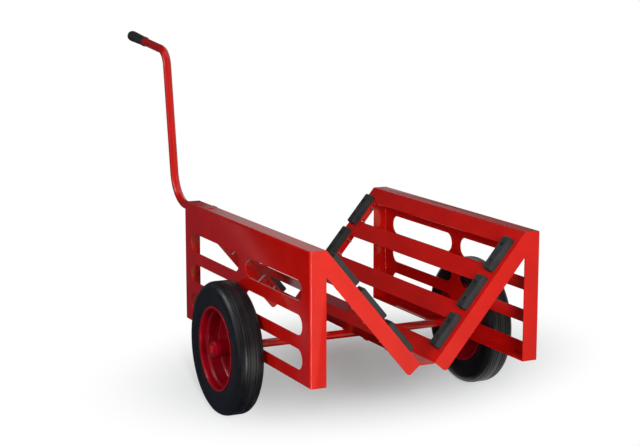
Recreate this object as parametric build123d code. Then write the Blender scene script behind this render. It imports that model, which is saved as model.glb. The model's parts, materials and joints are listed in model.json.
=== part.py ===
from build123d import *
import math
import os

# Pipe trolley, millimetres. Two slotted sheet-steel side frames carry a V-shaped cradle
# of two slotted panels, over one axle with two solid-rubber wheels, and a plug-in drawbar.
# It is drawn level first: +X towards the drawbar, +Y to its left, +Z up, the wheels' ground
# at z = 0 and the axle at x = 0. With two wheels it can't stand level, so at the end it is
# tipped about its axle until the drawbar end's feet meet the ground, as it parks.

# ---- Driving dimensions -------------------------------------------------------------
# Side frames, each folded from one sheet
frame_length = 935.0
frame_width = 733.0
frame_height = 382.0
sheet = 3.0
flange_width = 50.0            # corner posts, top and bottom flanges
bend_radius = 5.0              # outside radius of the sheet's bends

# Slots in the side plates
side_slot_height = 59.0
side_slot_pitch = 97.0
side_slot_rows = 3
side_slot_columns = 2
side_bottom_rail = 38.0
side_end_margin = 50.0
side_web = 50.0

# V cradle
keel_width = 45.8              # flat at the bottom of the V
arm_width = 47.6               # end flanges of the cradle panels
arm_corner_radius = 10.0
cradle_slot_width = 78.0
cradle_slot_pitch = 134.5
cradle_slot_rows = 3
cradle_top_slat = 53.5
cradle_end_strip = 59.5        # plain sheet between a slot's end and the frame's end
cradle_slot_corner = 10.0

# Rubber pads on the cradle's end strips
pad_length = 113.0
pad_width = 38.0
pad_height = 21.0
pad_end_distance = 36.5        # frame's end to the pad's middle
pad_edge_radius = 4.0
pad_bolt_spacing = 56.0
pad_bolt_hole = 6.6

# Axle and wheels
axle_diameter = 25.0
tyre_diameter = 400.0
tyre_width = 84.0
tyre_shoulder_radius = 24.0
tyre_bead_width = 72.0
tyre_gap = 10.0                # side plate to the tyre's inner side
rim_diameter = 256.0
rim_sheet = 3.0
rim_lip = 6.0                  # height of the rim's lip over the tyre's seat
disc_offset = 20.0             # wheel disc, inboard of the wheel's middle
disc_cone = 6.0                # how far the disc leans in and out of its own plane
hub_diameter = 50.0
hub_outer_reach = 43.0         # hub's outer end, outboard of the wheel's middle
washer_diameter = 44.0
washer_thickness = 3.0
axle_end_reach = 4.0           # axle bar beyond the outer washer

# Drawbar: bent tube, its socket and its grip
bar_diameter = 26.9
bar_wall = 2.9
socket_diameter = 33.7
socket_wall = 2.9
socket_length = 240.0
bar_insertion = 215.0          # length of the bar inside the socket
bar_reach = 143.0              # frame's end to the foot of the bar's riser, at its axis
bar_rise = 485.0               # bar's axis in the socket to the top corner, at its axis
bar_lean = 8.5                 # riser's lean away from the frame, degrees
bar_tilt = 5.6                 # top run's climb, degrees
bar_lower_bend = 110.0
bar_upper_bend = 60.0
bar_top_run = 338.0            # top corner to the tube's end
grip_diameter = 36.0
grip_length = 138.0
grip_end_wall = 4.0
grip_edge_radius = 5.0

# Small holes about the socket
flange_hole = 20.0
flange_hole_ends = (75.0, 163.0)   # their distances from the frame's end
side_pin_hole = 8.0
side_pin_hole_end = 213.5          # its distance from the frame's end

# Clearances
running_clearance = 0.08       # hub on the axle, radial
end_float = 0.3                # hub to its washers
seat_clearance = 0.1           # washers on the axle, radial
axle_hole_clearance = 0.3      # axle in the side plates' holes, radial

# ---- Places worked out from the sizes -------------------------------------------------
axle_z = tyre_diameter / 2
axle_radius = axle_diameter / 2
frame_drop = axle_radius + sheet   # the axle lies on the side frames' bottom flanges
frame_bottom = axle_z - frame_drop
frame_top = frame_bottom + frame_height
half_length = frame_length / 2
half_width = frame_width / 2

keel_top = axle_z + axle_radius + sheet
cradle_top_y = half_width - flange_width
cradle_run = cradle_top_y - keel_width / 2
cradle_rise = frame_top - keel_top
cradle_angle = math.degrees(math.atan2(cradle_rise, cradle_run))
cradle_slope_length = math.hypot(cradle_run, cradle_rise)

wheel_middle = half_width + tyre_gap + tyre_width / 2
hub_inner_end = tyre_gap + tyre_width / 2 - washer_thickness - end_float
washer_outer_face = wheel_middle + hub_outer_reach + end_float + washer_thickness

bar_y = half_width - flange_width / 2
bar_z = frame_top - sheet - socket_diameter / 2

SIDES = {"left": 1, "right": -1}
ENDS = {"front": 1, "rear": -1}
PAD_ROWS = ("upper", "middle", "lower")


# ---- Helpers ------------------------------------------------------------------------
def block(x_range, y_range, z_range):
    """A box between two limits along each axis."""
    size = [high - low for low, high in (x_range, y_range, z_range)]
    middle = [(high + low) / 2 for low, high in (x_range, y_range, z_range)]
    return Pos(*middle) * Box(*size)


def rod(radius, start, end):
    """A round bar along Y."""
    return Pos(0, (start + end) / 2, 0) * Rot(90, 0, 0) * Cylinder(radius, end - start)


def handed(shape, side):
    """A left-hand shape as it is, or mirrored for the right-hand side."""
    return shape if SIDES[side] > 0 else mirror(shape, about=Plane.XZ)


def on_axle(shape, side):
    """A wheel's piece, drawn about its own middle, moved to its place on the axle."""
    return handed(Pos(0, wheel_middle, axle_z) * shape, side)


def on_slope(distance, height=0.0):
    """The place on the left cradle panel's upper face, this far down the slope."""
    slope = Plane(
        origin=(0, cradle_top_y, frame_top),
        x_dir=(1, 0, 0),
        z_dir=(0, -math.sin(math.radians(cradle_angle)), math.cos(math.radians(cradle_angle))),
    )
    return slope.location * Pos(0, -distance, height)


def slope_slot_middle(row):
    """Distance down the slope to the middle of a cradle slot, where its pads sit too."""
    return cradle_top_slat + cradle_slot_width / 2 + row * cradle_slot_pitch


def end_profile(points):
    """A closed outline across the frame, from (y, z) points."""
    wire = Polyline(*[(0, y, z) for y, z in points], close=True)
    return make_face(wire)


# ---- Side frames --------------------------------------------------------------------
def side_slots():
    """The stadium slots that are cut through a side plate."""
    slots_length = frame_length - 2 * side_end_margin - (side_slot_columns - 1) * side_web
    slot_length = slots_length / side_slot_columns
    cuts = []
    for column in range(side_slot_columns):
        x = -half_length + side_end_margin + slot_length / 2 + column * (slot_length + side_web)
        for row in range(side_slot_rows):
            z = frame_bottom + side_bottom_rail + side_slot_height / 2 + row * side_slot_pitch
            outline = Plane.XZ * SlotOverall(slot_length, side_slot_height)
            cut = extrude(outline, amount=2 * sheet, both=True)
            cuts.append(Pos(x, half_width - sheet / 2, z) * cut)
    return cuts


def side_plate(side):
    """A shallow tray open to the inside: outer plate, two corner posts, two flanges."""
    outer = block((-half_length, half_length), (cradle_top_y, half_width), (frame_bottom, frame_top))
    outer = fillet(outer.faces().sort_by(Axis.Y)[-1].edges(), bend_radius)
    inner = block(
        (-half_length + sheet, half_length - sheet),
        (cradle_top_y - sheet, half_width - sheet),
        (frame_bottom + sheet, frame_top - sheet),
    )
    inner = fillet(inner.faces().sort_by(Axis.Y)[-1].edges(), bend_radius - sheet)
    plate = outer - inner
    for cut in side_slots():
        plate -= cut

    # The axle lies on the bottom flange and passes through a round hole in the plate.
    hole_radius = axle_radius + axle_hole_clearance
    plate -= Pos(0, 0, axle_z) * rod(hole_radius, half_width - bend_radius, half_width + sheet)
    if side == "left":
        plate -= drawbar_holes()
    return handed(plate, side)


def drawbar_holes():
    """Holes in the left frame: the bar's in the post, two above its socket, one beside it."""
    post_hole = Pos(half_length, bar_y, bar_z) * Rot(0, 90, 0)
    holes = post_hole * Cylinder(socket_diameter / 2 - socket_wall, 4 * sheet)
    holes += top_holes()
    side_place = Pos(half_length - side_pin_hole_end, 0, bar_z)
    holes += side_place * rod(side_pin_hole / 2, half_width - 2 * sheet, half_width + sheet)
    return holes


def top_holes():
    """The two holes through the top flange and through the upper side of the socket."""
    holes = None
    for end_distance in flange_hole_ends:
        depth = frame_top + sheet - bar_z
        place = Pos(half_length - end_distance, bar_y, bar_z + depth / 2)
        hole = place * Cylinder(flange_hole / 2, depth)
        holes = hole if holes is None else holes + hole
    return holes


# ---- V cradle -----------------------------------------------------------------------
def cradle_panel(side):
    """Sloping slotted panel, with an arm folded down at each end in the posts' plane."""
    angle = math.radians(cradle_angle)
    down = (math.sin(angle), -math.cos(angle))
    toe = (keel_width / 2, keel_top)
    head = (cradle_top_y, frame_top)
    arm_toe = (toe[0] + arm_width * down[0], toe[1] + arm_width * down[1])
    arm_head = (cradle_top_y, arm_toe[1] + (cradle_top_y - arm_toe[0]) * math.tan(angle))
    arm_face = end_profile([toe, head, arm_head, arm_toe])
    corners = arm_face.vertices().sort_by(Axis.Z)
    arm_face = fillet([corners[0]], arm_corner_radius)
    wedge = Pos(-half_length, 0, 0) * extrude(arm_face, amount=frame_length, dir=(1, 0, 0))

    # The hollow runs past the wedge everywhere but on the slope, where the sheet is left.
    reach = arm_width + frame_height
    along = (math.cos(angle), math.sin(angle))
    under_toe = (
        toe[0] + sheet * down[0] - reach * along[0],
        toe[1] + sheet * down[1] - reach * along[1],
    )
    under_head = (
        head[0] + sheet * down[0] + reach * along[0],
        head[1] + sheet * down[1] + reach * along[1],
    )
    far_head = (under_head[0] + reach * down[0], under_head[1] + reach * down[1])
    far_toe = (under_toe[0] + reach * down[0], under_toe[1] + reach * down[1])
    hollow_face = end_profile([under_toe, under_head, far_head, far_toe])
    hollow_length = frame_length - 2 * sheet
    hollow = Pos(-hollow_length / 2, 0, 0) * extrude(hollow_face, amount=hollow_length, dir=(1, 0, 0))
    panel = wedge - hollow

    slot_outline = RectangleRounded(
        frame_length - 2 * cradle_end_strip, cradle_slot_width, cradle_slot_corner
    )
    slot_cut = extrude(slot_outline, amount=2 * sheet, both=True)
    for row in range(cradle_slot_rows):
        panel -= on_slope(slope_slot_middle(row)) * slot_cut
        for end in ENDS:
            panel -= on_slope(slope_slot_middle(row)) * pad_bolt_cuts(end, 2 * sheet)
    return handed(panel, side)


def pad_bolt_cuts(end, depth):
    """A pad's two bolt holes, about the pad's middle on the slope."""
    x = ENDS[end] * (half_length - pad_end_distance)
    upper = Pos(x, pad_bolt_spacing / 2, 0) * Cylinder(pad_bolt_hole / 2, 2 * depth)
    lower = Pos(x, -pad_bolt_spacing / 2, 0) * Cylinder(pad_bolt_hole / 2, 2 * depth)
    return upper + lower


def keel_plate():
    """Flat strip that joins the two panels along the bottom of the V, on the axle."""
    return block(
        (-half_length, half_length),
        (-keel_width / 2, keel_width / 2),
        (keel_top - sheet, keel_top),
    )


def pad(end, side, row):
    """Rubber block with rounded edges, bolted to the panel's end strip."""
    body = Pos(0, 0, pad_height / 2) * Box(pad_width, pad_length, pad_height)
    rounded = body.edges().filter_by(Axis.Z) + body.faces().sort_by(Axis.Z)[-1].edges()
    body = fillet(rounded, pad_edge_radius)
    body = Pos(ENDS[end] * (half_length - pad_end_distance), 0, 0) * body
    body -= pad_bolt_cuts(end, 2 * pad_height)
    return handed(on_slope(slope_slot_middle(row)) * body, side)


# ---- Axle and wheels ----------------------------------------------------------------
def axle_bar():
    """Round steel bar across the trolley, through both side plates and both hubs."""
    end = washer_outer_face + axle_end_reach
    return Pos(0, 0, axle_z) * rod(axle_radius, -end, end)


def axle_washer(start):
    """Thick washer on the axle, starting this far out from the trolley's middle."""
    ring = rod(washer_diameter / 2, start, start + washer_thickness)
    ring -= rod(axle_radius + seat_clearance, start - 1, start + washer_thickness + 1)
    return Pos(0, 0, axle_z) * ring


def turned(points, corner_radii=None):
    """A solid of revolution about Y from (radius, y) points, with some corners rounded."""
    outline = make_face(Polyline(*points, close=True))
    for point, radius in (corner_radii or {}).items():
        corner = outline.vertices().sort_by_distance((point[0], point[1], 0))[0]
        outline = fillet([corner], radius)
    return revolve(outline, Axis.Y)


def tyre():
    """Solid rubber tyre with round shoulders and a narrower foot on the rim."""
    foot_radius = rim_diameter / 2 - rim_lip
    outer_radius = tyre_diameter / 2
    cheek_radius = (rim_diameter / 2 + outer_radius) / 2
    half = tyre_width / 2
    foot = tyre_bead_width / 2
    outline = [
        (foot_radius, -foot),
        (rim_diameter / 2, -foot),
        (cheek_radius, -half),
        (outer_radius, -half),
        (outer_radius, half),
        (cheek_radius, half),
        (rim_diameter / 2, foot),
        (foot_radius, foot),
    ]
    rounds = {
        (outer_radius, -half): tyre_shoulder_radius,
        (outer_radius, half): tyre_shoulder_radius,
    }
    return turned(outline, rounds)


def rim():
    """Pressed steel rim: barrel with a lip each side, and a slightly conical disc."""
    seat_radius = rim_diameter / 2 - rim_lip
    inner_radius = seat_radius - rim_sheet
    foot = tyre_bead_width / 2
    edge = foot + rim_sheet
    barrel = turned([
        (inner_radius, -edge),
        (seat_radius, -edge),
        (seat_radius, edge),
        (inner_radius, edge),
    ])
    for outward in (1, -1):
        lip = [
            (inner_radius, outward * foot),
            (rim_diameter / 2, outward * foot),
            (rim_diameter / 2, outward * edge),
            (inner_radius, outward * edge),
        ]
        barrel += turned(lip)
    disc_inner = hub_diameter / 2
    disc_outer = inner_radius + rim_sheet / 2
    disc_in = -disc_offset + disc_cone
    disc_out = -disc_offset - disc_cone
    disc = turned([
        (disc_inner, disc_in),
        (disc_outer, disc_out),
        (disc_outer, disc_out + rim_sheet),
        (disc_inner, disc_in + rim_sheet),
    ])
    return barrel + disc


def hub():
    """Hub tube through the disc, running on the axle bar."""
    body = rod(hub_diameter / 2, -hub_inner_end, hub_outer_reach)
    bore = rod(axle_radius + running_clearance, -hub_inner_end - 1, hub_outer_reach + 1)
    return body - bore


# ---- Drawbar ------------------------------------------------------------------------
def drawbar_socket():
    """Tube under the left frame's top flange that the drawbar plugs into, holed from above."""
    end = half_length - sheet
    place = Pos(end - socket_length / 2, bar_y, bar_z) * Rot(0, 90, 0)
    outside = Cylinder(socket_diameter / 2, socket_length)
    inside = Cylinder(socket_diameter / 2 - socket_wall, socket_length + 2)
    return place * (outside - inside) - top_holes()


def bar_corners():
    """The bent bar's corner points (x, z), from its end in the socket to its top end."""
    lean = math.radians(bar_lean)
    tilt = math.radians(bar_tilt)
    start = (half_length - bar_insertion, bar_z)
    foot = (half_length + bar_reach, bar_z)
    top = (foot[0] + bar_rise * math.tan(lean), bar_z + bar_rise)
    end = (top[0] + bar_top_run * math.cos(tilt), top[1] + bar_top_run * math.sin(tilt))
    return [start, foot, top, end]


def drawbar_tube():
    """The drawbar: a straight run in the socket, a leaning riser and a top run."""
    corners = [(x, bar_y, z) for x, z in bar_corners()]
    path = FilletPolyline(*corners, radius=[bar_lower_bend, bar_upper_bend])
    section = Plane(origin=corners[0], z_dir=(1, 0, 0))
    ring = Circle(bar_diameter / 2) - Circle(bar_diameter / 2 - bar_wall)
    return sweep(section * ring, path=path)


def drawbar_grip():
    """Rubber sleeve with a closed end, pushed over the bar's top end."""
    end_x, end_z = bar_corners()[-1]
    place = Pos(end_x, bar_y, end_z) * Rot(0, 90 - bar_tilt, 0)
    inside_length = grip_length - grip_end_wall
    sleeve = Pos(0, 0, grip_length / 2 - inside_length) * Cylinder(grip_diameter / 2, grip_length)
    sleeve = fillet(sleeve.faces().sort_by(Axis.Z)[-1].edges(), grip_edge_radius)
    sleeve -= Pos(0, 0, -inside_length / 2) * Cylinder(bar_diameter / 2, inside_length)
    return place * sleeve


# ---- Assembly, level and then as parked -----------------------------------------------
def level_nodes():
    """Every piece of the level trolley, by its node's name."""
    nodes = {"keel_plate": keel_plate(), "axle_bar": axle_bar()}
    for side in SIDES:
        nodes[f"side_plate_{side}"] = side_plate(side)
        nodes[f"cradle_panel_{side}"] = cradle_panel(side)
        nodes[f"tyre_{side}"] = on_axle(tyre(), side)
        nodes[f"rim_{side}"] = on_axle(rim(), side)
        nodes[f"hub_{side}"] = on_axle(hub(), side)
        nodes[f"inner_washer_{side}"] = handed(axle_washer(half_width), side)
        nodes[f"outer_washer_{side}"] = handed(axle_washer(washer_outer_face - washer_thickness), side)
        for end in ENDS:
            for row, row_name in enumerate(PAD_ROWS):
                nodes[f"pad_{end}_{side}_{row_name}"] = pad(end, side, row)
    nodes["drawbar_socket"] = drawbar_socket()
    nodes["drawbar_tube"] = drawbar_tube()
    nodes["drawbar_grip"] = drawbar_grip()
    return nodes


def parking_angle():
    """Nose-down angle at which the front posts' lower edges meet the ground, in degrees."""
    foot_distance = math.hypot(half_length, frame_drop)
    foot_angle = math.atan2(frame_drop, half_length)
    return math.degrees(math.asin(axle_z / foot_distance) - foot_angle)


def parked(nodes):
    """The pieces tipped about the axle, with the origin at the box's bottom centre."""
    tip = Pos(0, 0, axle_z) * Rot(0, parking_angle(), 0) * Pos(0, 0, -axle_z)
    tipped = {name: tip * shape for name, shape in nodes.items()}
    boxes = [shape.bounding_box() for shape in tipped.values()]
    middle_x = (min(box.min.X for box in boxes) + max(box.max.X for box in boxes)) / 2
    lowest = min(box.min.Z for box in boxes)
    shift = Pos(-middle_x, 0, -lowest)
    return {name: shift * shape for name, shape in tipped.items()}


os.makedirs("parts", exist_ok=True)
for node_name, node_shape in parked(level_nodes()).items():
    export_step(node_shape, f"parts/{node_name}.step")
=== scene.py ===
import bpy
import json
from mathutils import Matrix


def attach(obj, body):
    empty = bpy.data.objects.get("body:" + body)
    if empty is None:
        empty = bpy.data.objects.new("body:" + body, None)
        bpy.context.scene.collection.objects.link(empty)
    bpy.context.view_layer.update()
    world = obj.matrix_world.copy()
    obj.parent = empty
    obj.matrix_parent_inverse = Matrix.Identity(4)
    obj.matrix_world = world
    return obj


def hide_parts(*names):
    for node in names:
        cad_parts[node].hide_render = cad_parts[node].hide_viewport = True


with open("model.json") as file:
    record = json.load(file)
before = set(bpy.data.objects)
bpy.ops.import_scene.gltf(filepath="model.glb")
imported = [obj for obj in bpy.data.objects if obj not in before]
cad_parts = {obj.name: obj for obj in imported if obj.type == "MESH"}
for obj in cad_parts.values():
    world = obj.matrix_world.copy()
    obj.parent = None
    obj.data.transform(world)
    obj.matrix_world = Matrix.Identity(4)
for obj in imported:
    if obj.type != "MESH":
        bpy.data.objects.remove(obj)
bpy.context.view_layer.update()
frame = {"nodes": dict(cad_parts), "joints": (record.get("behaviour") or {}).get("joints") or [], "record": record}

import json
import math

import bmesh
import bpy
from mathutils import Matrix, Vector

# Pipe trolley, metres. Every piece is drawn on the level trolley, with the origin on the
# axle's centre line, +X towards the drawbar, +Y to the trolley's left and +Z up. One matrix
# then tips it nose-down about the axle, to where it parks.

mm = 0.001
CREASE = math.radians(40)          # faces that meet more sharply than this keep a crisp corner
SAME_POINT = 0.002 * mm            # points nearer than this are merged

# ---- The level trolley, worked out from the frame ---------------------------------------
mounts = {mount["name"]: mount for mount in frame["record"]["mounts"]}
axle_place = frame["joints"][0]["pos_m"]
upright = Vector(mounts["top_face_left"]["axis"])
park_angle = math.atan2(upright.x, upright.z)
PARK = Matrix.Translation((axle_place[0], 0, axle_place[2])) @ Matrix.Rotation(park_angle, 4, "Y")
LEVEL = PARK.inverted()


def corners_in(node, place):
    """Lowest and highest corner of a CAD node, measured along the axes of that place."""
    back = place.inverted()
    points = [back @ vertex.co for vertex in frame["nodes"][node].data.vertices]
    low = Vector([min(point[axis] for point in points) for axis in range(3)])
    high = Vector([max(point[axis] for point in points) for axis in range(3)])
    return low, high


def level_box(node):
    """Lowest and highest corner of a CAD node, measured on the level trolley."""
    return corners_in(node, PARK)


SIDES = {"left": 1, "right": -1}
ENDS = {"front": 1, "rear": -1}
ROWS = ("upper", "middle", "lower")

_, plate_high = level_box("side_plate_left")
_, panel_high = level_box("cradle_panel_left")
keel_low, keel_high = level_box("keel_plate")
tyre_low, tyre_high = level_box("tyre_left")
_, rim_high = level_box("rim_left")
hub_low, hub_high = level_box("hub_left")
washer_boxes = {kind: level_box(f"{kind}_washer_left") for kind in ("inner", "outer")}
_, axle_high = level_box("axle_bar")
socket_low, socket_high = level_box("drawbar_socket")

sheet = 3 * mm
axle_radius = axle_high.z
wheel_middle = (tyre_low.y + tyre_high.y) / 2
slope_normal = LEVEL.to_3x3() @ Vector(mounts["pipe_seat_front_left"]["axis"])
slope_angle = math.atan2(-slope_normal.y, slope_normal.z)
panel_points = [LEVEL @ vertex.co for vertex in frame["nodes"]["cradle_panel_left"].data.vertices]
# The lowest point of the panel's outer edge, which is welded to the post.
post_seam_low = min(point.z for point in panel_points if point.y > panel_high.y - 0.1 * mm)


def slope_place(side):
    """Place at a cradle panel's top edge: X along the trolley, Y up the slope, Z off its face."""
    turn = Matrix.Rotation(SIDES[side] * slope_angle, 4, "X")
    return Matrix.Translation((0, SIDES[side] * panel_high.y, panel_high.z)) @ turn


# ---- Materials ------------------------------------------------------------------------
def linear(hex_colour):
    """An sRGB hex colour as linear red, green, blue and alpha."""
    channels = [int(hex_colour[k:k + 2], 16) / 255 for k in (0, 2, 4)]
    return [c / 12.92 if c <= 0.04045 else ((c + 0.055) / 1.055) ** 2.4 for c in channels] + [1.0]


def add(tree, kind, links=None, **settings):
    """One node with its settings, and its inputs set to values or joined to other outputs."""
    node = tree.nodes.new("ShaderNode" + kind)
    for name, value in settings.items():
        setattr(node, name, value)
    for name, value in (links or {}).items():
        if isinstance(value, bpy.types.NodeSocket):
            tree.links.new(value, node.inputs[name])
        else:
            node.inputs[name].default_value = value
    return node


def new_material(name):
    """An empty node material, and its tree."""
    material = bpy.data.materials.new(name)
    material.use_nodes = True
    material.node_tree.nodes.clear()
    return material, material.node_tree


def noise(tree, size, detail):
    """Noise on the piece's own axes, with features of about this size in metres."""
    where = add(tree, "TexCoord")
    spots = add(tree, "TexNoise", {"Vector": where.outputs["Object"], "Scale": 1 / size, "Detail": detail})
    return spots.outputs["Fac"]


def two_tones(tree, factor, start, end, hex_colours):
    """A blend from one colour to another, as a factor goes from start to end."""
    ramp = add(tree, "ValToRGB", {"Fac": factor})
    for stop, position, hex_colour in zip(ramp.color_ramp.elements, (start, end), hex_colours):
        stop.position = position
        stop.color = linear(hex_colour)
    return ramp.outputs["Color"]


def red_coat(name, thick, thin, roughness):
    """Red coat on steel, cured to a full gloss: the frame's powder coat or the rims' enamel.

    The eye sees a deep traffic red with clear reflections, and the soft ripple of orange
    peel, about 3 mm across, which loosens their edges. The coat is a little thicker and
    darker in patches the size of a hand.
    """
    material, tree = new_material(name)
    patches = noise(tree, 90 * mm, 2.0)
    peel = noise(tree, 3 * mm, 1.0)
    bump = add(tree, "Bump", {"Height": peel, "Strength": 0.02, "Distance": 0.3 * mm})
    shader = add(tree, "BsdfPrincipled", {
        "Base Color": two_tones(tree, patches, 0.35, 0.65, (thick, thin)),
        "Normal": bump.outputs["Normal"],
        "Roughness": roughness,
        "IOR": 1.45,
    })
    add(tree, "OutputMaterial", {"Surface": shader.outputs["BSDF"]})
    return material


def rubber(name, dark, light, roughness, grain, ior):
    """Moulded rubber, filled with carbon black.

    The eye sees a near-black surface with a soft, broad shine, the fine grain of its mould and
    a faint grey bloom in patches about 28 mm across.
    """
    material, tree = new_material(name)
    bloom = noise(tree, 28 * mm, 4.0)
    shine = add(tree, "MapRange", {
        "Value": bloom,
        "From Min": 0.3,
        "From Max": 0.7,
        "To Min": roughness - 0.05,
        "To Max": roughness + 0.05,
    })
    pits = noise(tree, grain, 2.0)
    bump = add(tree, "Bump", {"Height": pits, "Strength": 0.25, "Distance": 0.15 * mm})
    shader = add(tree, "BsdfPrincipled", {
        "Base Color": two_tones(tree, bloom, 0.35, 0.7, (dark, light)),
        "Roughness": shine.outputs["Result"],
        "Normal": bump.outputs["Normal"],
        "IOR": ior,
    })
    add(tree, "OutputMaterial", {"Surface": shader.outputs["BSDF"]})
    return material


def bright_zinc():
    """Bright zinc plating on steel fasteners.

    The eye sees a pale, slightly warm metal, with a cloudy gloss from the plating's crystals.
    The clear film over the zinc takes the edge off its mirror, so it isn't fully metallic.
    """
    material, tree = new_material("bright_zinc")
    clouds = noise(tree, 4 * mm, 3.0)
    shine = add(tree, "MapRange", {"Value": clouds, "To Min": 0.22, "To Max": 0.42})
    shader = add(tree, "BsdfPrincipled", {
        "Base Color": two_tones(tree, clouds, 0.0, 1.0, ("CBC9BF", "E4E2D8")),
        "Roughness": shine.outputs["Result"],
        "Metallic": 0.8,
    })
    add(tree, "OutputMaterial", {"Surface": shader.outputs["BSDF"]})
    return material


PAINT = red_coat("red_powder_coat", "D4120C", "DD160F", roughness=0.14)
# The wheels' enamel is a crimson of its own. It is also darker than the frame's coat as painted shade, because the
# shade inside each wheel's dish and round its hub is painted into it. The hubs, outer washers, retaining rings and
# hub welds share this enamel.
RIM_PAINT_WITH_SHADE = red_coat("crimson_rim_enamel_with_painted_shade", "990218", "A6061C", roughness=0.22)
TYRE = rubber("solid_tyre_rubber", "141417", "1C1C1F", roughness=0.36, grain=1.2 * mm, ior=1.4)
PAD = rubber("pad_rubber", "262829", "343637", roughness=0.6, grain=0.9 * mm, ior=1.42)
ZINC = bright_zinc()
FINISH = {"red_paint": PAINT, "tyre_rubber": TYRE, "black_rubber": PAD, "zinc_steel": ZINC}

for row in frame["record"]["subparts"]:
    node_mesh = frame["nodes"][row["node"]].data
    node_mesh.materials.clear()
    node_mesh.materials.append(FINISH[row["material_slot"]])


# ---- Drawing tools ----------------------------------------------------------------------
def rounded(corners):
    """Points of a closed outline from (across, along, radius) corners, each one rounded.

    A round takes up less than half of the shorter edge beside it, and has a point at every
    15 degrees or so.
    """
    points = []
    for k, (x, y, radius) in enumerate(corners):
        here = Vector((x, y))
        back = Vector(corners[k - 1][:2]) - here
        on = Vector(corners[(k + 1) % len(corners)][:2]) - here
        if radius <= 0:
            points.append((x, y))
            continue
        half = back.angle(on) / 2
        cut = min(radius / math.tan(half), back.length * 0.49, on.length * 0.49)
        radius = cut * math.tan(half)
        centre = here + (back.normalized() + on.normalized()).normalized() * radius / math.sin(half)
        start = here + back.normalized() * cut - centre
        turn = start.angle_signed(here + on.normalized() * cut - centre)
        steps = max(2, round(abs(turn) / math.radians(15)))
        for step in range(steps + 1):
            arm = start.copy()
            arm.rotate(Matrix.Rotation(-turn * step / steps, 2))
            points.append(tuple(centre + arm))
    return points


def turned(outline, steps=96):
    """A closed outline of (radius, height) points turned about the Z axis."""
    bm = bmesh.new()
    rings = []
    for step in range(steps):
        angle = 2 * math.pi * step / steps
        rings.append([bm.verts.new((r * math.cos(angle), r * math.sin(angle), z)) for r, z in outline])
    for step in range(steps):
        ring, following = rings[step], rings[(step + 1) % steps]
        for k in range(len(outline)):
            n = (k + 1) % len(outline)
            bm.faces.new((ring[k], following[k], following[n], ring[n]))
    return bm


def joined(drawings):
    """One drawing from several (drawing, place) pairs."""
    whole = bmesh.new()
    for drawing, place in drawings:
        mesh = bpy.data.meshes.new("drawing")
        drawing.to_mesh(mesh)
        mesh.transform(place)
        whole.from_mesh(mesh)
        bpy.data.meshes.remove(mesh)
    return whole


def together(drawings):
    """One drawing from several that are already in place."""
    return joined([(drawing, Matrix()) for drawing in drawings])


def facing(point, axis):
    """A place whose own Z runs along an axis."""
    return Matrix.Translation(point) @ Vector(axis).to_track_quat("Z", "Y").to_matrix().to_4x4()


def circle(place, radius, steps):
    """Points round a circle in a place's XY plane."""
    turns = [2 * math.pi * step / steps for step in range(steps)]
    return [place @ Vector((radius * math.cos(turn), radius * math.sin(turn), 0)) for turn in turns]


def even_faces(piece):
    """Shade a piece's flat faces flat, up to the rounds along their edges."""
    normals = piece.modifiers.new("even_faces", "WEIGHTED_NORMAL")
    normals.keep_sharp = True


def settle(name, bm, finish, body, place=Matrix(), stands_for=()):
    """Make a drawing a piece: at its place, smooth on its rounds and crisp at its corners."""
    bmesh.ops.remove_doubles(bm, verts=bm.verts, dist=SAME_POINT)
    bmesh.ops.dissolve_degenerate(bm, edges=bm.edges, dist=SAME_POINT)
    bmesh.ops.recalc_face_normals(bm, faces=bm.faces)
    for face in bm.faces:
        face.smooth = True
    mesh = bpy.data.meshes.new(name)
    bm.to_mesh(mesh)
    mesh.transform(PARK @ place)
    mesh.set_sharp_from_angle(angle=CREASE)
    mesh.materials.append(finish)
    piece = bpy.data.objects.new(name, mesh)
    bpy.context.scene.collection.objects.link(piece)
    even_faces(piece)
    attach(piece, body)
    if stands_for:
        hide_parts(*stands_for)
    return piece


# ---- Folded sheet -------------------------------------------------------------------------
CUT_EDGE = 0.3 * mm                # round that the coat gives a laser-cut edge
FLAT = math.radians(0.6)           # faces that meet more flatly than this become one face


def folded_sheet(node):
    """A sheet piece with the laser-cut edges that the coat has rounded.

    Where two sheets are welded in one plane, along the top of each post, no edge is rounded.
    """
    bm = bmesh.new()
    bm.from_mesh(frame["nodes"][node].data)
    bm.transform(LEVEL)
    bmesh.ops.remove_doubles(bm, verts=bm.verts, dist=0.01 * mm)
    bmesh.ops.dissolve_limit(bm, angle_limit=FLAT, verts=bm.verts, edges=bm.edges)

    def on_seam(edge):
        """True for an edge in the plane where a panel's end meets its side frame."""
        return all(abs(abs(vertex.co.y) - panel_high.y) < 0.05 * mm for vertex in edge.verts)

    sharp = [
        edge for edge in bm.edges
        if len(edge.link_faces) == 2 and edge.calc_face_angle() > CREASE and not on_seam(edge)
    ]
    bmesh.ops.bevel(
        bm, geom=sharp, offset=CUT_EDGE, segments=2, profile=0.5, affect="EDGES", clamp_overlap=True)
    return bm


for side in SIDES:
    for kind in ("side_plate", "cradle_panel"):
        node = f"{kind}_{side}"
        settle(f"{node}_sheet", folded_sheet(node), PAINT, "frame", stands_for=[node])
settle("keel_strip", folded_sheet("keel_plate"), PAINT, "frame", stands_for=["keel_plate"])


# ---- Weld beads ------------------------------------------------------------------------------
WELD_PITCH = 1.6 * mm              # from one point of a bead to the next
WELD_SIDES = 10
WELD_RIPPLE = 0.14                 # its points swell and shrink in turn by this share of its radius
WELD_TIP = 0.35                    # radius at its two ends, as a share of the same
KEEL_WELDS = (-420, -290, -150, -10, 130, 270, 400)      # where each one starts along the trolley, mm
KEEL_WELD_LENGTH = 32                                    # mm
FLANGE_WELDS = (-330, -120, 90, 300)
FLANGE_WELD_LENGTH = 30
SOCKET_WELD_LENGTH = 34 * mm


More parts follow.
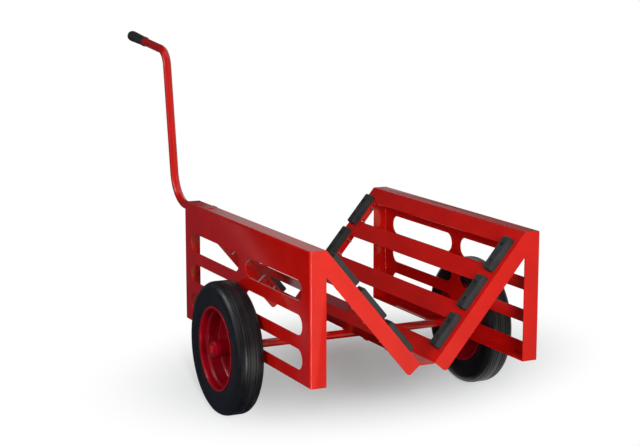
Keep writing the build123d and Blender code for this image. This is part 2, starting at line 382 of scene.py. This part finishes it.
def weld_bead(path_points, radius):
    """A bead of overlapping weld ripples along a line of points, drawn in at both ends."""
    bm = bmesh.new()
    rings = []
    last = len(path_points) - 1
    for k, point in enumerate(path_points):
        ahead = (path_points[min(k + 1, last)] - path_points[max(k - 1, 0)]).normalized()
        girth = radius * (1 + WELD_RIPPLE * math.cos(math.pi * k)) * (WELD_TIP if k in (0, last) else 1)
        rings.append([bm.verts.new(spot) for spot in circle(facing(point, ahead), girth, WELD_SIDES)])
    for ring, following in zip(rings, rings[1:]):
        for k in range(WELD_SIDES):
            n = (k + 1) % WELD_SIDES
            bm.faces.new((ring[k], ring[n], following[n], following[k]))
    bm.faces.new(rings[0][::-1])
    bm.faces.new(rings[-1])
    return bm


def straight_weld(start, end, radius):
    """A straight bead."""
    start, end = Vector(start), Vector(end)
    steps = max(4, round((end - start).length / WELD_PITCH))
    return weld_bead([start.lerp(end, step / steps) for step in range(steps + 1)], radius)


def round_weld(centre, axis, around, radius):
    """A bead round a bar or tube, on a circle of the radius around."""
    steps = max(24, round(2 * math.pi * around / WELD_PITCH))
    points = circle(facing(centre, axis), around, steps)
    return weld_bead(points + points[:1], radius)


def cradle_welds(side):
    """Beads that hold one panel to the keel, to the side frame's posts and to its top flange."""
    hand = SIDES[side]
    beads = []
    y, z = hand * (keel_high.y + 0.8 * mm), keel_low.z - 0.6 * mm
    for x in KEEL_WELDS:
        beads.append(straight_weld((x * mm, y, z), ((x + KEEL_WELD_LENGTH) * mm, y, z), 2.0 * mm))
    low, high = post_seam_low + 8 * mm, panel_high.z - 12 * mm
    for end in ENDS.values():
        x, y = end * (plate_high.x - sheet - 0.6 * mm), hand * panel_high.y
        beads.append(straight_weld((x, y, low), (x, y, high), 2.0 * mm))
    y, z = hand * (panel_high.y - 1.5 * mm), panel_high.z - sheet - 1.2 * mm
    for x in FLANGE_WELDS:
        beads.append(straight_weld((x * mm, y, z), ((x + FLANGE_WELD_LENGTH) * mm, y, z), 1.8 * mm))
    inside = hand * (plate_high.y - sheet - 0.6 * mm)
    beads.append(round_weld((0, inside, 0), (0, 1, 0), axle_radius + 0.8 * mm, 2.0 * mm))
    return together(beads)


def socket_welds():
    """Beads along both sides of the drawbar's socket, under the top flange."""
    middle_y = (socket_low.y + socket_high.y) / 2
    z = socket_high.z - 3.2 * mm
    beads = []
    for x in (socket_low.x + 10 * mm, socket_low.x + 95 * mm, socket_high.x - 45 * mm):
        for hand in (1, -1):
            y = middle_y + hand * 9.5 * mm
            beads.append(straight_weld((x, y, z), (x + SOCKET_WELD_LENGTH, y, z), 2.2 * mm))
    return together(beads)


for side in SIDES:
    settle(f"cradle_welds_{side}", cradle_welds(side), PAINT, "frame")
settle("socket_welds", socket_welds(), PAINT, "frame")


# ---- Rubber pads and their bolts -----------------------------------------------------------
BOLT_SPACING = 56 * mm
BOLT_RADIUS = 2.5 * mm
BOLT_REACH = {"left": 41 * mm, "right": 32 * mm}      # from the panel's face back to the bolt's end
THREAD_PITCH = 0.8 * mm
THREAD_DEPTH = 0.4 * mm
HEAD_DEPTH = 9 * mm                # from the pad's top down to the bolt's head
WASHER_THICKNESS = 1 * mm
NUT_HEIGHT = 4 * mm


def pad_block(low, high):
    """Moulded block with rounded upper edges."""
    bm = bmesh.new()
    bmesh.ops.create_cube(bm, size=1)
    size = high - low
    bmesh.ops.scale(bm, vec=size, verts=bm.verts)
    bmesh.ops.translate(bm, vec=(low + high) / 2, verts=bm.verts)
    top = high.z - 1e-6
    soft = [edge for edge in bm.edges if any(vertex.co.z > top for vertex in edge.verts)]
    bmesh.ops.bevel(bm, geom=soft, offset=4.5 * mm, segments=5, profile=0.5, affect="EDGES")
    return bm


def bolt_hole():
    """The counterbore's hollow down from the pad's top, a little wider at its mouth."""
    floor = -HEAD_DEPTH - 0.5 * mm
    mouth = 0.5 * mm
    return turned([
        (0, mouth), (6.9 * mm, mouth), (6.2 * mm, -0.6 * mm), (6.0 * mm, floor), (0, floor),
    ], 28)


def pad_bolt(pad_height, reach):
    """One pad's bolt, from its sunk head to its end behind the panel, with washer and nut."""
    head_top = pad_height - HEAD_DEPTH
    head = turned(rounded([
        (0, head_top - 2.6 * mm, 0), (1.9 * mm, head_top - 2.6 * mm, 0),
        (2.0 * mm, head_top, 0.2 * mm), (4.4 * mm, head_top, 1.6 * mm),
        (5.3 * mm, head_top - 3 * mm, 0.3 * mm), (0, head_top - 3.6 * mm, 0),
    ]), 20)
    back = -sheet
    nut_high = back - WASHER_THICKNESS
    nut_low = nut_high - NUT_HEIGHT
    washer = turned(rounded([
        (2.7 * mm, back, 0), (5.2 * mm, back, 0.2 * mm),
        (5.2 * mm, nut_high, 0.3 * mm), (2.7 * mm, nut_high, 0),
    ]), 28)
    nut = turned([
        (2.4 * mm, nut_low), (4.0 * mm, nut_low), (4.62 * mm, nut_low + 0.6 * mm),
        (4.62 * mm, nut_high - 0.6 * mm), (4.0 * mm, nut_high), (2.4 * mm, nut_high),
    ], 6)
    end = -reach
    root = BOLT_RADIUS - THREAD_DEPTH
    height = end + 0.6 * mm
    outline = [(0, end), (root - 0.3 * mm, end), (root, height)]
    while height < back - 1 * mm:
        outline += [(BOLT_RADIUS, height + THREAD_PITCH / 2), (root, height + THREAD_PITCH)]
        height += THREAD_PITCH
    in_head = head_top - 3.2 * mm
    outline += [(BOLT_RADIUS, height + 1 * mm), (BOLT_RADIUS, in_head), (0, in_head)]
    return [head, washer, nut, turned(outline, 14)]


def drill(block, bm, place):
    """Cut a drawing out of a piece, for good."""
    bmesh.ops.remove_doubles(bm, verts=bm.verts, dist=SAME_POINT)
    bmesh.ops.recalc_face_normals(bm, faces=bm.faces)
    mesh = bpy.data.meshes.new("drill")
    bm.to_mesh(mesh)
    mesh.transform(PARK @ place)
    tool = bpy.data.objects.new("drill", mesh)
    bpy.context.scene.collection.objects.link(tool)
    difference = block.modifiers.new("drill", "BOOLEAN")
    difference.object = tool
    difference.operation = "DIFFERENCE"
    difference.solver = "EXACT"
    block.modifiers.remove(block.modifiers["even_faces"])
    view = bpy.context.evaluated_depsgraph_get()
    drilled = bpy.data.meshes.new_from_object(block.evaluated_get(view))
    block.modifiers.remove(difference)
    block.data = drilled
    drilled.set_sharp_from_angle(angle=CREASE)
    bpy.data.objects.remove(tool)
    even_faces(block)


def build_pad(end, side, row):
    """One pad: a block with two counterbored holes, and its two bolts, each turned its own way."""
    node = f"pad_{end}_{side}_{row}"
    slope = slope_place(side)
    low, high = corners_in(node, PARK @ slope)
    block = settle(f"{node}_block", pad_block(low, high), PAD, "frame", slope, [node])
    middle = (low + high) / 2
    parts, holes = [], []
    for step in (-1, 1):
        centre = Vector((middle.x, middle.y + step * BOLT_SPACING / 2, 0))
        bolt_place = Matrix.Translation(centre) @ Matrix.Rotation(math.radians(17 + 23 * step), 4, "Z")
        parts += [(part, bolt_place) for part in pad_bolt(high.z, BOLT_REACH[side])]
        holes.append((bolt_hole(), Matrix.Translation(centre + Vector((0, 0, high.z)))))
    drill(block, joined(holes), slope)
    settle(f"{node}_bolts", joined(parts), ZINC, "frame", slope)


for side in SIDES:
    for end in ENDS:
        for row in ROWS:
            build_pad(end, side, row)


# ---- Wheels and axle ---------------------------------------------------------------------------
def wheel_place(side):
    """A wheel's middle, with its own Z pointing away from the trolley."""
    return facing((0, SIDES[side] * wheel_middle, 0), (0, SIDES[side], 0))


TREAD_GROOVES = (9 * mm, 17 * mm, 25 * mm)      # from the wheel's middle
GROOVE_DEPTH = 2.2 * mm
GROOVE_FLOOR = 0.9 * mm            # half of a groove's width at its floor
GROOVE_MOUTH = 1.5 * mm            # and at the tread
TREAD_EDGE = 35 * mm
CROWN = 24 * mm                    # radius of the round from tread to cheek


def tyre_outline():
    """Section of the solid tyre: ribbed tread, a small step at its edge, and full cheeks."""
    outer = tyre_high.z
    half = (tyre_high.y - tyre_low.y) / 2
    seat = rim_high.z

    def tread(along):
        """Radius of the tread and its crown, at a distance from the wheel's middle."""
        past = max(0.0, abs(along) - (half - CROWN))
        return outer - CROWN + math.sqrt(max(CROWN ** 2 - past ** 2, 0))

    marks = [0.0, 3.5 * mm]
    for groove in TREAD_GROOVES:
        marks += [groove - GROOVE_MOUTH, groove - GROOVE_FLOOR, groove + GROOVE_FLOOR, groove + GROOVE_MOUTH]
    marks += [29 * mm, 32 * mm, TREAD_EDGE - 0.4 * mm]
    side = []
    for along in marks:
        sunk = any(abs(along - groove) < 1.0 * mm for groove in TREAD_GROOVES)
        side.append((tread(along) - (GROOVE_DEPTH if sunk else 0), along))
    edge = tread(TREAD_EDGE)
    side += [(edge - 0.3 * mm, TREAD_EDGE), (edge - 1.6 * mm, TREAD_EDGE + 0.3 * mm)]
    side += [(tread(half - drop * mm) - 1.2 * mm, half - drop * mm) for drop in (5.0, 3.4, 2.0, 1.0, 0.3)]
    side += [
        (outer - CROWN - 6 * mm, half), (outer - CROWN - 14 * mm, half),
        (seat + 24 * mm, half - 0.6 * mm), (seat + 16 * mm, half - 1.8 * mm),
        (seat + 9 * mm, half - 3.4 * mm), (seat + 4.5 * mm, half - 4.6 * mm),
        (seat + 2.2 * mm, half - 4.9 * mm), (seat + 1.0 * mm, half - 5.6 * mm),
        (seat - 5 * mm, half - 6.0 * mm),
    ]
    return [(r, -y) for r, y in side[:0:-1]] + side


def rim_outline():
    """Section of the pressed rim: rolled lips, barrel with a shallow well, and dished disc."""
    lip = rim_high.z
    edge = rim_high.y - wheel_middle
    seat = lip - 6 * mm
    inner_lip = [
        (seat, -edge + 3 * mm, 1), (lip - 0.4 * mm, -edge + 3.2 * mm, 1.2), (lip, -edge, 1.6),
        (lip - 8 * mm, -edge, 2.5), (lip - 9.5 * mm, -edge + 6 * mm, 3),
    ]
    disc_inside = [
        (seat - 5 * mm, -27.5 * mm, 1.5), (112 * mm, -27.5 * mm, 3), (86 * mm, -25 * mm, 6),
        (76 * mm, -20.5 * mm, 6), (44 * mm, -17 * mm, 4), (25 * mm, -15 * mm, 0),
    ]
    disc_outside = [
        (25 * mm, -11.5 * mm, 0), (44 * mm, -13.5 * mm, 4), (74 * mm, -17 * mm, 6),
        (84 * mm, -21.5 * mm, 6), (108 * mm, -24 * mm, 5),
    ]
    well = [
        (seat - 9.5 * mm, -21 * mm, 5), (seat - 9.5 * mm, 12 * mm, 6), (seat - 3.5 * mm, 18 * mm, 5),
    ]
    outer_lip = [
        (lip - 9.5 * mm, edge - 6 * mm, 2), (lip - 7.5 * mm, edge, 2.4), (lip - 0.2 * mm, edge, 1.8),
        (lip - 0.4 * mm, edge - 3.2 * mm, 1.2), (seat, edge - 3 * mm, 1),
    ]
    corners = inner_lip + disc_inside + disc_outside + well + outer_lip
    return rounded([(r, y, radius * mm) for r, y, radius in corners])


def hub_outline(inner, outer):
    """Section of the hub tube: turned ends with a shallow bearing face."""
    bore = axle_radius + 0.1 * mm
    corners = [
        (bore, inner, 0.3), (25 * mm, inner, 1.2), (25 * mm, outer, 1.6),
        (20.5 * mm, outer, 0.5), (19.5 * mm, outer - 1.4 * mm, 0.4), (bore, outer - 1.4 * mm, 0.3),
    ]
    return rounded([(r, y, bend * mm) for r, y, bend in corners])


def washer_outline(radius, inner, outer):
    """Section of a flat washer with a punched edge."""
    bore = axle_radius + 0.15 * mm
    corners = [(bore, inner, 0.2), (radius, inner, 0.3), (radius, outer, 0.9), (bore, outer, 0.5)]
    return rounded([(r, y, bend * mm) for r, y, bend in corners])


def circlip():
    """Retaining ring with its two eyes, which grips a groove near the axle's end."""
    bm = bmesh.new()
    gap = math.radians(16)             # half of the gap between the eyes
    steps = 56
    thickness = 1.5 * mm
    inside = axle_radius - 0.8 * mm
    sections = []
    for step in range(steps + 1):
        turn = gap + (2 * math.pi - 2 * gap) * step / steps
        width = 1.6 * mm + 1.1 * mm * (1 - math.cos(turn)) / 2
        in_eye = step <= 2 or step >= steps - 2
        outside = inside + width + (3.0 * mm if in_eye else 0)
        section = [(inside, 0), (outside, 0), (outside, thickness), (inside, thickness)]
        sections.append([bm.verts.new((r * math.cos(turn), r * math.sin(turn), z)) for r, z in section])
    for section, following in zip(sections, sections[1:]):
        for k in range(4):
            bm.faces.new((section[k], following[k], following[(k + 1) % 4], section[(k + 1) % 4]))
    bm.faces.new(sections[0])
    bm.faces.new(sections[-1][::-1])
    return bm


def build_wheel(side):
    """One wheel: tyre, rim, hub, and a weld round the hub on each side of the rim's disc."""
    body = f"wheel_{side}"
    place = wheel_place(side)
    settle(f"{body}_tyre", turned(tyre_outline(), 160), TYRE, body, place, [f"tyre_{side}"])
    settle(f"{body}_rim", turned(rim_outline(), 128), RIM_PAINT_WITH_SHADE, body, place, [f"rim_{side}"])
    hub = hub_outline(hub_low.y - wheel_middle, hub_high.y - wheel_middle)
    settle(f"{body}_hub", turned(hub, 72), RIM_PAINT_WITH_SHADE, body, place, [f"hub_{side}"])
    welds = [round_weld((0, 0, z), (0, 0, 1), 26.2 * mm, 2.4 * mm) for z in (-11.0 * mm, -15.6 * mm)]
    settle(f"{body}_hub_welds", together(welds), RIM_PAINT_WITH_SHADE, body, place)


def build_axle():
    """Axle bar with chamfered ends, and each side's washers and retaining ring."""
    end = axle_high.y
    bar = turned(rounded([
        (0, -end, 0), (axle_radius, -end, 1.6 * mm), (axle_radius, end, 1.6 * mm), (0, end, 0),
    ]), 48)
    settle("axle_round_bar", bar, PAINT, "frame", facing((0, 0, 0), (0, 1, 0)), ["axle_bar"])
    for side in SIDES:
        out = facing((0, 0, 0), (0, SIDES[side], 0))
        for kind, (low, high) in washer_boxes.items():
            ring = turned(washer_outline(high.z, low.y, high.y), 56)
            name = f"{kind}_washer_{side}"
            finish, slot = (ZINC, "zinc_steel") if kind == "inner" else (RIM_PAINT_WITH_SHADE, "red_paint")
            settle(f"{name}_ring", ring, finish, "frame", out, [name])
        beside_washer = Matrix.Translation((0, 0, washer_boxes["outer"][1].y + 0.3 * mm))
        place = out @ beside_washer @ Matrix.Rotation(math.radians(115), 4, "Z")
        settle(f"axle_circlip_{side}", circlip(), RIM_PAINT_WITH_SHADE, "frame", place)


for side in SIDES:
    build_wheel(side)
build_axle()


# ---- Drawbar ---------------------------------------------------------------------------------------
DRAWBAR_RADIUS = 13.5 * mm         # the tube's, with a little room in the grip


def build_grip():
    """Rubber grip: a sleeve that swells towards its round closed end, with a rolled mouth."""
    mount = mounts["drawbar_grip"]
    middle = LEVEL @ Vector(mount["pos_m"])
    place = facing(middle, LEVEL.to_3x3() @ Vector(mount["axis"]))
    low, high = corners_in("drawbar_grip", PARK @ place)
    radius = high.x
    outline = rounded([
        (0, high.z - 5 * mm, 0), (0, high.z, 0), (radius - 1.0 * mm, high.z, 6 * mm),
        (radius, high.z - 16 * mm, 8 * mm), (radius - 0.6 * mm, high.z - 40 * mm, 20 * mm),
        (radius - 2.2 * mm, low.z + 26 * mm, 20 * mm), (radius - 2.4 * mm, low.z + 5 * mm, 1.0 * mm),
        (radius - 1.4 * mm, low.z + 4 * mm, 0.8 * mm), (radius - 1.4 * mm, low.z, 1.0 * mm),
        (DRAWBAR_RADIUS, low.z, 0.6 * mm), (DRAWBAR_RADIUS, high.z - 5 * mm, 0),
    ])
    settle("drawbar_grip_sleeve", turned(outline, 56), PAD, "frame", place, ["drawbar_grip"])


build_grip()


# ---- Floor, backdrop, lights and camera ---------------------------------------------------
FLOOR_RADIUS = 9.0
# The floor's grey oval is a painted shadow. Inside it the floor is lit grey, and outside it the floor glows white.
SHADOW_OVAL_MIDDLE = (axle_place[0] + 0.07, -0.1, 0)      # of the floor's grey part
SHADOW_OVAL_HALVES = (0.3, 0.8, 1)                        # its half length and half width
WHITE = (1, 1, 1, 1)
LAMP_DISTANCE = 3.4
CARD_DISTANCE = 8.0
KEY_SIZE = (0.6, 1.3)
STRIP_SIZE = (0.12, 0.5)


def seen_directly(tree):
    """1 where the camera, a reflection or a clear part looks, and 0 where light is gathered."""
    path = add(tree, "LightPath")
    seen = path.outputs["Is Camera Ray"]
    for kind in ("Is Glossy Ray", "Is Transmission Ray"):
        seen = add(tree, "Math", {0: seen, 1: path.outputs[kind]}, operation="MAXIMUM").outputs[0]
    return seen


def studio_floor():
    """White floor that keeps the trolley's shadow and lends little light back to it.

    Under the trolley, in an oval, it is grey: this is a painted shadow, laid over the real shadow that it keeps.
    There it is tinted slightly cool to cancel the red light that the trolley throws onto it, and it pales to pure
    white around.
    """
    bm = bmesh.new()
    bmesh.ops.create_circle(bm, cap_ends=True, segments=64, radius=FLOOR_RADIUS)
    mesh = bpy.data.meshes.new("studio_floor")
    bm.to_mesh(mesh)
    bm.free()
    floor = bpy.data.objects.new("studio_floor", mesh)
    bpy.context.scene.collection.objects.link(floor)
    material, tree = new_material("white_sweep_with_painted_shadow")
    where = add(tree, "TexCoord")
    offset = add(tree, "VectorMath", {0: where.outputs["Object"], 1: SHADOW_OVAL_MIDDLE}, operation="SUBTRACT")
    in_shadow_oval = add(tree, "VectorMath", {0: offset.outputs[0], 1: SHADOW_OVAL_HALVES}, operation="DIVIDE")
    reach = add(tree, "VectorMath", {0: in_shadow_oval.outputs[0]}, operation="LENGTH")
    fade = add(tree, "MapRange", {
        "Value": reach.outputs["Value"],
        "From Min": 0.2,
        "From Max": 1.2,
        "To Min": 0.2,
        "To Max": 1.0,
    }, interpolation_type="SMOOTHSTEP")
    seen = seen_directly(tree)
    share = add(tree, "Math", {0: seen, 1: fade.outputs["Result"]}, operation="MULTIPLY")
    shade = add(tree, "MapRange", {"Value": seen, "To Min": 0.25, "To Max": 0.6})
    # The cool tint cancels the red light that the trolley throws onto the floor.
    cool = add(tree, "VectorMath", {0: shade.outputs["Result"], 1: (0.93, 1.0, 1.0)}, operation="MULTIPLY")
    near = add(tree, "BsdfDiffuse", {"Color": cool.outputs[0]})
    far = add(tree, "Emission", {"Color": WHITE, "Strength": 1.0})
    both = add(tree, "MixShader", {0: share.outputs[0], 1: near.outputs[0], 2: far.outputs[0]})
    add(tree, "OutputMaterial", {"Surface": both.outputs[0]})
    mesh.materials.append(material)


def backdrop(strength):
    """World that is white where it is seen or mirrored, and a plain soft light on surfaces."""
    world = bpy.data.worlds.new("studio")
    bpy.context.scene.world = world
    world.use_nodes = True
    tree = world.node_tree
    tree.nodes.clear()
    level = add(tree, "MapRange", {"Value": seen_directly(tree), "To Min": strength, "To Max": 1.0})
    light = add(tree, "Background", {"Color": WHITE, "Strength": level.outputs["Result"]})
    add(tree, "OutputWorld", {"Surface": light.outputs[0]})


def lamp_place(azimuth, height, distance):
    """A place round the level trolley: degrees from behind it towards its left, and up."""
    turn, climb = math.radians(azimuth), math.radians(height)
    flat = distance * math.cos(climb)
    return (-flat * math.cos(turn), flat * math.sin(turn), distance * math.sin(climb))


def softbox(name, place, aim, size, watts, for_gloss=False):
    """Lamp on the level trolley's axes: it lights surfaces, or shows only in their gloss."""
    lamp = bpy.data.lights.new(name, "AREA")
    lamp.shape = "RECTANGLE"
    lamp.size, lamp.size_y = size
    lamp.energy = watts
    box = bpy.data.objects.new(name, lamp)
    bpy.context.scene.collection.objects.link(box)
    way = (Vector(aim) - Vector(place)).to_track_quat("-Z", "Y").to_matrix().to_4x4()
    box.matrix_world = PARK @ Matrix.Translation(place) @ way
    box.visible_glossy = for_gloss
    box.visible_diffuse = not for_gloss


def gloss_card(name, corners, colour):
    """Card that only reflections see, like those that a studio sets beside gloss paint."""
    mesh = bpy.data.meshes.new(name)
    mesh.from_pydata(corners, [], [(0, 1, 2, 3)])
    card = bpy.data.objects.new(name, mesh)
    bpy.context.scene.collection.objects.link(card)
    material, tree = new_material(name)
    shader = add(tree, "Emission", {"Color": (*colour, 1), "Strength": 1.0})
    add(tree, "OutputMaterial", {"Surface": shader.outputs[0]})
    mesh.materials.append(material)
    card.visible_camera = False
    card.visible_diffuse = False
    card.visible_shadow = False
    card.visible_transmission = False
    card.visible_volume_scatter = False


def rectangle(across, up):
    """The four corners of a rectangle from its two ranges."""
    return [(across[0], up[0]), (across[1], up[0]), (across[1], up[1]), (across[0], up[1])]


def floor_card(name, x_range, y_range, colour):
    """Card that lies just above the floor."""
    gloss_card(name, [(x, y, 4 * mm) for x, y in rectangle(x_range, y_range)], colour)


def upright_card(name, x, y_range, z_range, colour):
    """Card that stands across the trolley's path."""
    gloss_card(name, [(x, y, z) for y, z in rectangle(y_range, z_range)], colour)


def standing_card(name, azimuths, heights, colour):
    """Card that stands round the trolley, between two azimuths and two heights in degrees."""
    corners = [lamp_place(*corner, CARD_DISTANCE) for corner in rectangle(azimuths, heights)]
    gloss_card(name, [PARK @ Vector(corner) for corner in corners], colour)


def camera():
    """The viewing camera: behind the trolley, to its left and above it."""
    place = Vector((-4.2298, 2.1501, 1.1821))
    turn = math.radians(-25.738)
    dip = math.radians(10.032)
    ahead = Vector((math.cos(turn) * math.cos(dip), math.sin(turn) * math.cos(dip), -math.sin(dip)))
    data = bpy.data.cameras.new("camera")
    data.lens = 89.14
    data.sensor_width = 36.0
    data.clip_end = 60
    view = bpy.data.objects.new("camera", data)
    bpy.context.scene.collection.objects.link(view)
    view.matrix_world = PARK @ Matrix.Translation(place) @ ahead.to_track_quat("-Z", "Y").to_matrix().to_4x4()
    bpy.context.scene.camera = view


studio_floor()
backdrop(0.2)
softbox("right_key", lamp_place(12, 14, LAMP_DISTANCE), (0, 0, 0.1), KEY_SIZE, 70)
softbox("left_key", lamp_place(60, 26, LAMP_DISTANCE), (0, 0, 0.1), KEY_SIZE, 31)
softbox("right_strip", lamp_place(3, 38, LAMP_DISTANCE), (0, 0, 0.3), STRIP_SIZE, 3.0, for_gloss=True)
softbox("left_strip", lamp_place(60, 38, LAMP_DISTANCE), (0, 0, 0.3), STRIP_SIZE, 3.0, for_gloss=True)
softbox("tread_strip", lamp_place(1, -10, LAMP_DISTANCE), (0, 0, 0), (0.3, 1.0), 30, for_gloss=True)
for k, azimuth in enumerate((112, 122)):
    softbox(f"rim_strip_{k + 1}", lamp_place(azimuth, 25, 2.6), (0, 0.4, 0), (0.08, 0.5), 3.5, for_gloss=True)

# The gloss mirrors what stands round the trolley. On the floor these are dark cards under it, to
# its left and far to its right, and grey ones beside the left wheel and near it on the right.
# Upright, they are dark ones ahead of it and behind the camera, a warm pale one behind it, and a
# warm grey one to the right of that.
floor_card("beside_floor_card", (-1.6, 3.6), (0.32, 0.73), (0.05, 0.06, 0.09))
floor_card("left_floor_card", (-1.6, 3.6), (0.74, 3.0), (0.0, 0.0, 0.0))
floor_card("under_floor_card", (-1.2, 3.6), (-0.36, 0.02), (0.0, 0.0, 0.0))
floor_card("nose_floor_card", (0.0, 3.6), (0.02, 0.31), (0.0, 0.0, 0.0))
floor_card("wheel_floor_card", (-0.12, 0.0), (0.02, 0.31), (0.26, 0.23, 0.25))
floor_card("tail_floor_card", (-1.2, -0.12), (0.02, 0.31), (0.09, 0.08, 0.09))
floor_card("right_floor_card", (-0.4, 5.0), (-1.6, -0.37), (0.45, 0.45, 0.45))
floor_card("far_floor_card", (-0.4, 5.0), (-5.0, -1.61), (0.06, 0.06, 0.06))
upright_card("front_card", 2.2, (-0.4, 2.6), (0.01, 4.0), (0.06, 0.06, 0.06))
standing_card("camera_card", (-4, 88), (-12, 55), (0.15, 0.15, 0.15))
standing_card("warm_card", (-29.5, -4), (-22, 55), (1.0, 0.94, 0.68))
standing_card("right_card", (-75, -29.5), (-22, 55), (0.45, 0.41, 0.33))
camera()

scene = bpy.context.scene
scene.view_settings.view_transform = "Standard"
